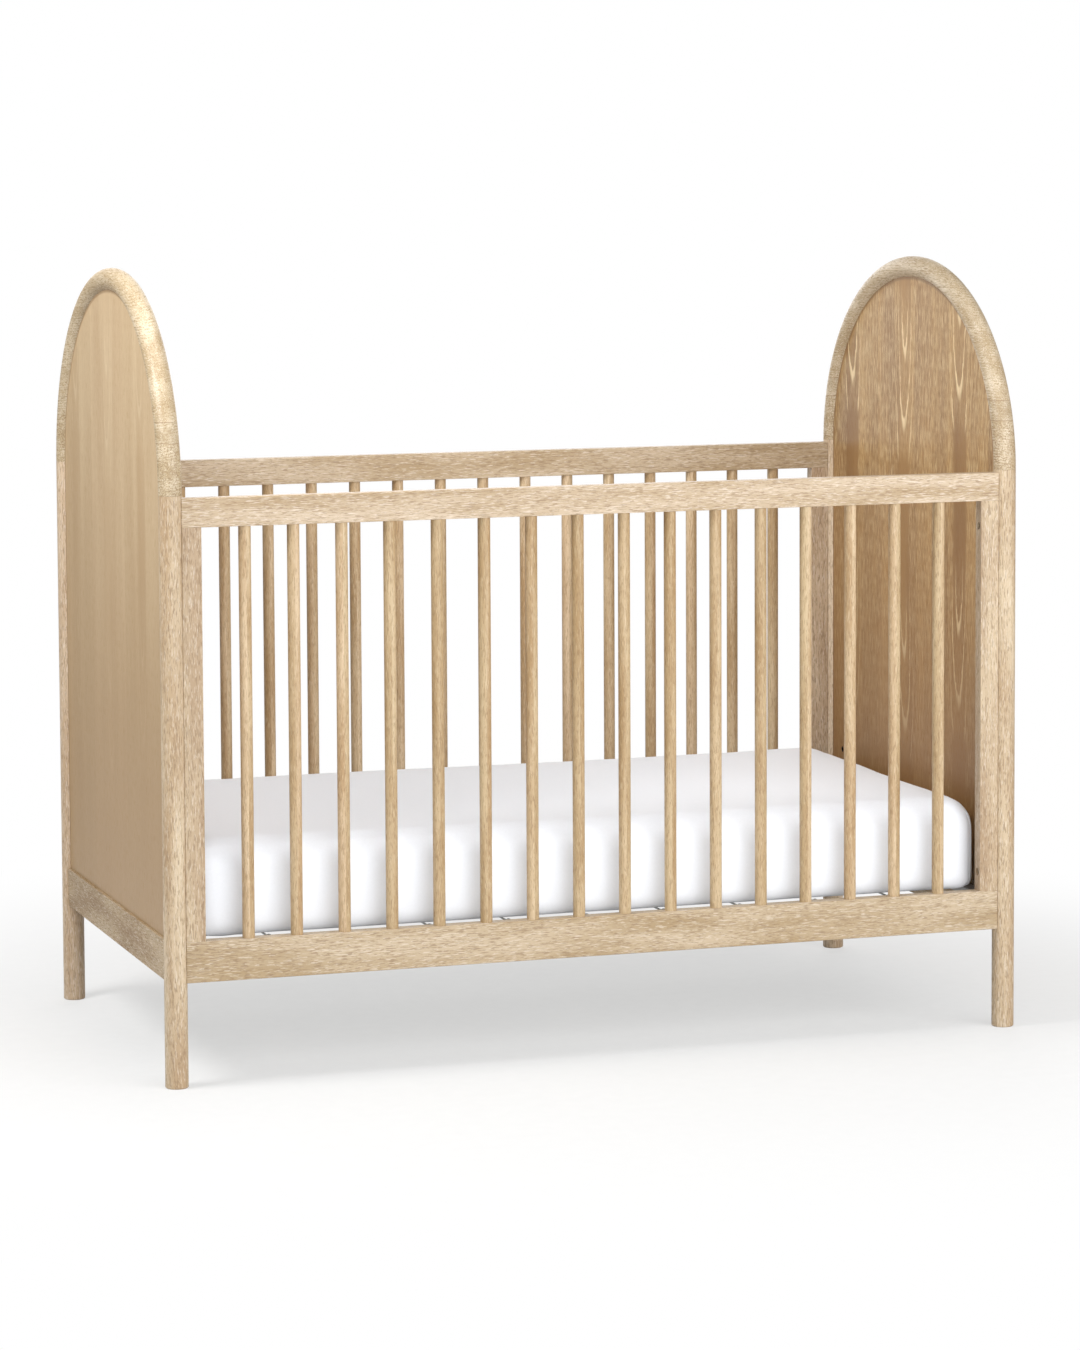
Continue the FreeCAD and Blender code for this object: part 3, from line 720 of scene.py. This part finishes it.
@dataclass
class SpringDeck:
    """The steel support: angle frame, brackets, wires and their tension springs."""

    nodes: dict[str, bpy.types.Object]
    coil_radius: float = 4.4 * MM
    wire_radius: float = 0.6 * MM
    spring_length: float = 42 * MM
    hook_length: float = 6 * MM
    turns: float = 19.0

    def springs(self) -> list[tuple[Vector, Vector]]:
        """Find each spring's outer end and its direction from the CAD springs.

        Returns:
            The outer end of each spring and a unit vector towards the deck's middle.
        """
        mesh = self.nodes["wire_springs"].data
        islands = bmesh.new()
        islands.from_mesh(mesh)
        bmesh.ops.remove_doubles(islands, verts=islands.verts, dist=1e-5)
        found = []
        left = set(islands.verts)
        while left:
            stack = [left.pop()]
            member = list(stack)
            while stack:
                for edge in stack.pop().link_edges:
                    for vert in edge.verts:
                        if vert in left:
                            left.remove(vert)
                            stack.append(vert)
                            member.append(vert)
            low = Vector([min(v.co[i] for v in member) for i in range(3)])
            high = Vector([max(v.co[i] for v in member) for i in range(3)])
            middle = (low + high) / 2
            axis = 0 if high.x - low.x > high.y - low.y else 1
            outwards = math.copysign(1.0, middle[axis])
            end = middle.copy()
            end[axis] += outwards * self.spring_length / 2
            heading = Vector((0.0, 0.0, 0.0))
            heading[axis] = -outwards
            found.append((end, heading))
        islands.free()
        return sorted(found, key=lambda spring: tuple(round(value, 4) for value in spring[0]))

    def coil_tree(self) -> Repeater:
        """Build the tree of one tension spring: a close coil with a hook at each end."""
        sizes = {"Coil Radius": 0.004, "Wire Radius": 0.0006, "Length": 0.04, "Hook": 0.006, "Turns": 19.0}
        repeat = Repeater("tension_spring", sizes)
        tree = repeat.tree
        body = tree.math("MULTIPLY_ADD", repeat.size("Hook"), -2.0, repeat.size("Length"))
        coil = tree.add("GeometryNodeCurveSpiral", {
            "Resolution": 14, "Rotations": repeat.size("Turns"), "Start Radius": repeat.size("Coil Radius"),
            "End Radius": repeat.size("Coil Radius"), "Height": body}).outputs[0]
        coil = repeat.moved(repeat.tube(coil, repeat.size("Wire Radius"), 6),
                            tree.join(0.0, 0.0, repeat.size("Hook")))
        ring_radius = tree.math("MULTIPLY", repeat.size("Hook"), 0.5)
        ring = tree.add("GeometryNodeCurvePrimitiveCircle", {"Resolution": 18, "Radius": ring_radius}).outputs[0]
        ring = repeat.tube(ring, repeat.size("Wire Radius"), 6)
        upright = (math.pi / 2, 0.0, 0.0)
        near = repeat.moved(ring, tree.join(0.0, 0.0, ring_radius), upright)
        far = repeat.moved(ring, tree.join(0.0, 0.0, tree.math("SUBTRACT", repeat.size("Length"), ring_radius)),
                           upright)
        whole = tree.add("GeometryNodeJoinGeometry")
        for part in (coil, near, far):
            tree.tree.links.new(part, whole.inputs[0])
        repeat.finish(whole.outputs[0], "heading")
        return repeat

    def build(self) -> None:
        """Dress the steel nodes and coil the springs."""
        coated = Steel("powder_coat", "a8a8a6", 0.0, 0.38).material()
        bright = Steel("spring_wire", "b4b4b6", 1.0, 0.32, 1400.0).material()
        black = Steel("black_zinc", "3b3835", 0.9, 0.42).material()
        for node in ("support_frame", "hanger_brackets"):
            dress(self.nodes[node], coated)
        dress(self.nodes["support_wires"], bright)
        for node in ("hanger_bolts", "side_bolts", "threaded_inserts"):
            dress(self.nodes[node], black)
        sizes = {"Coil Radius": self.coil_radius, "Wire Radius": self.wire_radius, "Length": self.spring_length,
                 "Hook": self.hook_length, "Turns": self.turns}
        springs = self.coil_tree().run("tension_springs", self.springs(), sizes, bright)
        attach(springs, "mattress_support")
        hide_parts("wire_springs")
        log.info("spring deck: %d faces of coil", len(springs.data.polygons))


# ---- bedding ---------------------------------------------------------------


@dataclass
class Bedding:
    """The foam mattress and the fitted sheet pulled over it."""

    low: Vector
    high: Vector
    top_radius: float = 46 * MM
    bottom_radius: float = 9 * MM
    corner_radius: float = 40 * MM
    voxel: float = 10 * MM
    slack: float = 5 * MM
    swell: float = 4.6 * MM
    cover: float = 1.4 * MM
    frames: int = 20
    hem_width: float = 60 * MM
    stitch_pitch: float = 4 * MM

    def stock(self, form: bmesh.types.BMesh) -> None:
        """Loft the mattress's rounded block, a little slack, from its underside to its top."""
        room = Vector((self.slack, self.slack, self.slack))
        low, high = self.low + room, self.high - room
        centre, half = (low + high) / 2, (high - low) / 2
        steps = [math.pi / 2 * i / 8 for i in range(9)]
        levels = [(self.bottom_radius * (1 - math.sin(a)), low.z + self.bottom_radius * (1 - math.cos(a)))
                  for a in steps]
        levels += [(self.top_radius * (1 - math.sin(a)), high.z - self.top_radius * (1 - math.cos(a)))
                   for a in reversed(steps)]
        loops = []
        for inset, level in levels:
            radius = self.corner_radius - inset * 0.8
            reach_x, reach_y = half.x - inset - radius, half.y - inset - radius
            loop = []
            for quarter, (side_x, side_y) in enumerate(((1, 1), (-1, 1), (-1, -1), (1, -1))):
                for step in range(13):
                    angle = math.pi / 2 * (quarter + step / 12)
                    loop.append(form.verts.new((centre.x + side_x * reach_x + radius * math.cos(angle),
                                                centre.y + side_y * reach_y + radius * math.sin(angle), level)))
            loops.append(loop)
        for below, above in zip(loops, loops[1:]):
            for i, corner in enumerate(below):
                j = (i + 1) % len(below)
                form.faces.new((corner, below[j], above[j], above[i]))
        form.faces.new(list(reversed(loops[0])))
        form.faces.new(loops[-1])

    def simulate(self, piece: bpy.types.Object) -> None:
        """Blow the closed form up a little as cloth, and cap how far each point may move."""
        start = [v.co.copy() for v in piece.data.vertices]
        modifier = piece.modifiers.new("cloth", "CLOTH")
        cloth = modifier.settings
        cloth.quality = 6
        cloth.mass = 0.2
        cloth.tension_stiffness = 25
        cloth.compression_stiffness = 25
        cloth.shear_stiffness = 10
        cloth.bending_stiffness = 0.4
        cloth.use_pressure = True
        cloth.uniform_pressure_force = 4.0
        cloth.effector_weights.gravity = 0.0
        cloth.shrink_min = -0.012
        scene = bpy.context.scene
        scene.frame_start, scene.frame_end = 1, self.frames
        modifier.point_cache.frame_start, modifier.point_cache.frame_end = 1, self.frames
        for frame in range(1, self.frames + 1):
            scene.frame_set(frame)
        applied(piece)
        scene.frame_set(1)
        for vertex, home in zip(piece.data.vertices, start):
            shift = vertex.co - home
            if shift.length > self.swell:
                vertex.co = home + shift.normalized() * self.swell

    def drag_lines(self, piece: bpy.types.Object) -> None:
        """Add the soft pulls of a stretched sheet: slow hollows on top, gathers low at the corners."""
        middle = (self.low + self.high) / 2
        half = (self.high - self.low) / 2
        drop = 0.6 * (self.high.z - self.low.z)
        shaped = []
        for vertex in piece.data.vertices:
            place, outwards = vertex.co.copy(), vertex.normal.copy()
            rel_x = (place.x - middle.x) / half.x
            rel_y = (place.y - middle.y) / half.y
            corner = max(0.0, (abs(rel_x) - 0.72) / 0.28) * max(0.0, (abs(rel_y) - 0.5) / 0.5)
            lowness = max(0.0, min(1.0, (self.low.z + drop - place.z) / drop))
            round_angle = math.atan2(place.y - math.copysign(half.y - self.corner_radius, place.y),
                                     place.x - math.copysign(half.x - self.corner_radius, place.x))
            gather = math.sin(round_angle * 34.0) * corner * lowness ** 1.5 * 1.3 * MM
            ripple = noise.noise(Vector((place.x * 9.0, place.y * 3.0, place.z * 14.0))) * lowness * 0.8 * MM
            hollow = noise.noise(Vector((place.x * 3.1, place.y * 4.3, 2.0))) * 1.6 * MM
            shaped.append(place + outwards * (hollow if outwards.z > 0.7 else gather + ripple))
        piece.data.vertices.foreach_set("co", [value for place in shaped for value in place])

    def open_underside(self, piece: bpy.types.Object) -> list[Vector]:
        """Cut the sheet open under its middle and lay its hem flat at the mattress's underside.

        Returns:
            The points round the open edge, in order.
        """
        form = bmesh.new()
        form.from_mesh(piece.data)
        reach_x = self.high.x - self.hem_width
        reach_y = self.high.y - self.hem_width
        gone = [f for f in form.faces
                if f.normal.z < -0.7 and abs(f.calc_center_median().x) < reach_x
                and abs(f.calc_center_median().y) < reach_y]
        bmesh.ops.delete(form, geom=gone, context="FACES")
        rim = [e for e in form.edges if e.is_boundary]
        ordered: list[bmesh.types.BMVert] = [rim[0].verts[0]]
        seen = {ordered[0]}
        growing = True
        while growing:
            growing = False
            for edge in ordered[-1].link_edges:
                other = edge.other_vert(ordered[-1])
                if edge.is_boundary and other not in seen:
                    ordered.append(other)
                    seen.add(other)
                    growing = True
                    break
        for vertex in ordered:
            vertex.co.z = self.low.z + 0.6 * MM
        line = [v.co.copy() for v in ordered]
        form.to_mesh(piece.data)
        form.free()
        return line

    def make_form(self) -> bpy.types.Object:
        """Swell the block under its sheet, with the soft pulls of stretched cloth."""
        form = bpy.data.objects.new("form", mesh_from(self.stock, "form"))
        bpy.context.scene.collection.objects.link(form)
        remesh = form.modifiers.new("voxels", "REMESH")
        remesh.mode = "VOXEL"
        remesh.voxel_size = self.voxel
        applied(form)
        self.simulate(form)
        self.drag_lines(form)
        return form

    def make_sheet(self, form: bpy.types.Object, cotton: bpy.types.Material) -> tuple[bpy.types.Object, list[Vector]]:
        """Make the fitted sheet as one thin cloth over the form.

        Args:
            form: The closed shape of mattress and sheet together.
            cotton: The sheet's material.

        Returns:
            The sheet and the line round its open edge.
        """
        piece = new_piece("fitted_sheet_cloth", form.data.copy(), cotton)
        rim = self.open_underside(piece)
        smooth = piece.modifiers.new("smooth", "SUBSURF")
        smooth.levels = 1
        smooth.render_levels = 1
        thicken = piece.modifiers.new("cloth_thickness", "SOLIDIFY")
        thicken.thickness = 0.5 * MM
        thicken.offset = -1.0
        applied(piece)
        piece.data.polygons.foreach_set("use_smooth", [True] * len(piece.data.polygons))
        return piece, rim

    def make_core(self, form: bpy.types.Object, ticking: bpy.types.Material) -> bpy.types.Object:
        """Make the mattress in its ticking, just inside the sheet."""
        piece = new_piece("mattress_pad", form.data.copy(), ticking)
        drawn_in = [v.co - v.normal * self.cover for v in piece.data.vertices]
        for place in drawn_in:
            place.z = max(place.z, self.low.z + self.cover)
        piece.data.vertices.foreach_set("co", [value for place in drawn_in for value in place])
        piece.data.polygons.foreach_set("use_smooth", [True] * len(piece.data.polygons))
        return piece

    def corner_lines(self, form: bpy.types.Object) -> list[list[Vector]]:
        """Trace the seam down each corner of the sheet, from its top to its hem.

        Args:
            form: The closed shape that the sheet covers.

        Returns:
            One run of points on the cloth for each corner.
        """
        skin = BVHTree.FromPolygons([v.co for v in form.data.vertices], [p.vertices for p in form.data.polygons])
        centre, half = (self.low + self.high) / 2, (self.high - self.low) / 2
        lines = []
        for side_x, side_y in ((1, 1), (-1, 1), (-1, -1), (1, -1)):
            pivot = Vector((centre.x + side_x * (half.x - 1.2 * self.corner_radius),
                            centre.y + side_y * (half.y - 1.2 * self.corner_radius), centre.z))
            line = []
            for step in range(46):
                lift = math.radians(-62.0 + 120.0 * step / 45)
                flat = math.cos(lift) / math.sqrt(2)
                aim = Vector((side_x * flat, side_y * flat, math.sin(lift)))
                hit = skin.ray_cast(pivot + aim * 0.4, -aim)[0]
                if hit is not None:
                    line.append(hit + aim * 0.25 * MM)
            lines.append(line)
        return lines

    def stitches(self, lines: list[list[Vector]], cotton: bpy.types.Material) -> bpy.types.Object:
        """Sew a row of short stitches along each corner seam.

        Args:
            lines: The seams, as runs of points.
            cotton: The thread's material.

        Returns:
            One piece with every stitch.
        """
        sizes = {"Length": 0.003, "Radius": 0.0003}
        repeat = Repeater("stitch", sizes)
        tree = repeat.tree
        half = tree.math("MULTIPLY", repeat.size("Length"), 0.5)
        thread = tree.add("GeometryNodeCurvePrimitiveLine", {
            "Start": tree.join(0.0, 0.0, tree.math("MULTIPLY", half, -1.0)), "End": tree.join(0.0, 0.0, half)})
        repeat.finish(repeat.tube(thread.outputs[0], repeat.size("Radius"), 6), "heading")
        spots = []
        for line in lines:
            travelled = 0.0
            for start, end in zip(line, line[1:]):
                run = end - start
                side = run.cross(Vector((0.0, 0.0, 1.0))).normalized() * 2.2 * MM
                while travelled < run.length:
                    spots.append((start + run.normalized() * travelled + side, run.normalized()))
                    travelled += self.stitch_pitch
                travelled -= run.length
        return repeat.run("sheet_stitches", spots, {"Length": self.stitch_pitch * 0.7, "Radius": 0.3 * MM}, cotton)

    def seams(self, lines: list[list[Vector]], cotton: bpy.types.Material) -> bpy.types.Object:
        """Raise a thin felled seam along each corner line."""
        curve = bpy.data.curves.new("sheet_seams", "CURVE")
        curve.dimensions = "3D"
        curve.bevel_depth = 0.7 * MM
        curve.bevel_resolution = 2
        curve.use_fill_caps = True
        for line in lines:
            spline = curve.splines.new("POLY")
            spline.points.add(len(line) - 1)
            spline.points.foreach_set("co", [value for place in line for value in (*place, 1.0)])
        holder = bpy.data.objects.new("seam_lines", curve)
        bpy.context.scene.collection.objects.link(holder)
        mesh = bpy.data.meshes.new_from_object(holder.evaluated_get(bpy.context.evaluated_depsgraph_get()))
        bpy.data.objects.remove(holder)
        piece = new_piece("sheet_seams", mesh, cotton)
        piece.data.polygons.foreach_set("use_smooth", [True] * len(piece.data.polygons))
        return piece

    def build(self) -> None:
        """Make and place the mattress and its sheet."""
        cotton = Cloth("white_percale", "f2f6fd").material()
        ticking = Cloth("mattress_ticking", "dcdcd6", thread=1.4 * MM, shade=0.12, relief=0.3,
                        stripe=22 * MM).material()
        form = self.make_form()
        sheet, rim = self.make_sheet(form, cotton)
        core = self.make_core(form, ticking)
        lines = self.corner_lines(form)
        bpy.data.objects.remove(form)
        for piece in (self.seams(lines, cotton), self.stitches(lines, cotton)):
            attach(piece, "mattress")
        for piece, node, kind in ((sheet, "fitted_sheet", "white_cotton"), (core, "mattress", "mattress_core")):
            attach(piece, "mattress")
            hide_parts(node)
        log.info("bedding: sheet of %d faces, open edge of %d points", len(sheet.data.polygons), len(rim))


# ---- studio ----------------------------------------------------------------


@dataclass
class Studio:
    """Camera, floor, backdrop colour and soft lights."""

    eye: tuple[float, float, float] = (-2.1869, -6.7340, 1.4351)
    turn: float = 18.669
    tip: float = 4.874
    roll: float = -0.239
    lens: float = 118.1
    shift: tuple[float, float] = (-0.0296, -0.1296)
    floor_size: float = 14.0
    floor_clear: tuple[float, float] = (0.6, 1.7)
    floor_glow: float = 0.5

    def camera(self) -> None:
        """Stand the camera in front of the crib, a little to its left and above it."""
        data = bpy.data.cameras.new("camera")
        data.sensor_width = 36.0
        data.lens = self.lens
        data.shift_x, data.shift_y = self.shift
        data.clip_end = 100.0
        camera = bpy.data.objects.new("camera", data)
        turned = (Matrix.Rotation(-math.radians(self.turn), 4, "Z")
                  @ Matrix.Rotation(math.radians(90.0 - self.tip), 4, "X")
                  @ Matrix.Rotation(math.radians(self.roll), 4, "Z"))
        camera.matrix_world = Matrix.Translation(self.eye) @ turned
        bpy.context.scene.collection.objects.link(camera)
        bpy.context.scene.camera = camera

    def floor(self) -> None:
        """Lay a pale floor that fades into the white backdrop away from the crib."""
        material, tree, shader = new_material("studio_floor")
        place = tree.add("ShaderNodeTexCoord").outputs["Object"]
        x, y, _ = tree.split(place)
        away = tree.math("SQRT", tree.math("ADD", tree.math("MULTIPLY", x, x), tree.math("MULTIPLY", y, y)))
        seen = tree.add("ShaderNodeLightPath").outputs["Is Camera Ray"]
        fade = tree.math("MULTIPLY", tree.fit(away, *self.floor_clear, self.floor_glow, 1.0), seen)
        grain = tree.noise(place, 40.0, 3.0).outputs["Fac"]
        tree.feed(shader.inputs["Base Color"], tree.blend(grain, paint("dddddc"), paint("e6e6e5")))
        shader.inputs["Roughness"].default_value = 0.85
        glow = tree.add("ShaderNodeEmission", {"Color": (1.0, 1.0, 1.0, 1.0), "Strength": 1.0})
        mix = tree.add("ShaderNodeMixShader", {0: fade, 1: shader.outputs[0], 2: glow.outputs[0]})
        tree.feed(material.node_tree.nodes["Material Output"].inputs[0], mix.outputs[0])
        half = self.floor_size / 2
        mesh = bpy.data.meshes.new("studio_floor")
        mesh.from_pydata([(-half, -half, 0), (half, -half, 0), (half, half, 0), (-half, half, 0)], [], [(0, 1, 2, 3)])
        floor = new_piece("studio_floor", mesh, material)

    def world(self, strength: float) -> None:
        """Fill the room with soft white light; the camera sees plain white."""
        world = bpy.data.worlds.new("studio")
        world.use_nodes = True
        bpy.context.scene.world = world
        tree = Tree(world.node_tree)
        path = tree.add("ShaderNodeLightPath")
        light = tree.add("ShaderNodeBackground", {"Color": (1.0, 1.0, 1.0, 1.0), "Strength": strength})
        seen = tree.add("ShaderNodeBackground", {"Color": (1.0, 1.0, 1.0, 1.0), "Strength": 1.0})
        mix = tree.add("ShaderNodeMixShader", {0: path.outputs["Is Camera Ray"], 1: light.outputs[0],
                                               2: seen.outputs[0]})
        tree.feed(world.node_tree.nodes["World Output"].inputs[0], mix.outputs[0])

    def lamp(self, name: str, place: tuple[float, float, float], aim: tuple[float, float, float],
             size: tuple[float, float], power: float, warmth: tuple[float, float, float] = (1, 1, 1)) -> None:
        """Hang one soft box and aim it."""
        data = bpy.data.lights.new(name, "AREA")
        data.shape = "RECTANGLE"
        data.size, data.size_y = size
        data.energy = power
        data.color = warmth
        lamp = bpy.data.objects.new(name, data)
        lamp.location = place
        lamp.rotation_euler = (Vector(aim) - Vector(place)).to_track_quat("-Z", "Y").to_euler()
        bpy.context.scene.collection.objects.link(lamp)

    def build(self) -> None:
        """Set up the whole studio."""
        bpy.context.scene.view_settings.view_transform = "Standard"
        self.camera()
        self.floor()
        self.world(0.31)
        self.lamp("key_box", (0.9, -3.2, 1.6), (0.0, 0.0, 0.75), (4.6, 2.4), 124.0)
        self.lamp("fill_box", (-1.85, -0.5, 2.1), (-0.67, 0.0, 1.0), (0.8, 0.8), 36.0)
        self.lamp("top_box", (-0.4, -0.2, 2.6), (-0.7, 0.0, 0.4), (0.9, 0.9), 15.0)
        self.lamp("back_box", (0.8, 3.0, 1.5), (0.0, 0.0, 0.7), (3.0, 1.8), 36.0)
        log.info("studio set")


# ---- assembly --------------------------------------------------------------


def main() -> None:
    """Load the frame, build every sub-assembly in order and note the two sizes."""
    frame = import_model()
    Studio().build()
    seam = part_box("front_left_post")[1].z
    panel_low, panel_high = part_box("right_end_panel")
    Woodwork(frame["nodes"], seam, (panel_low.x + panel_high.x) / 2).build()
    SpringDeck(frame["nodes"]).build()
    Bedding(*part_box("fitted_sheet")).build()


if __name__ == "__main__":
    main()
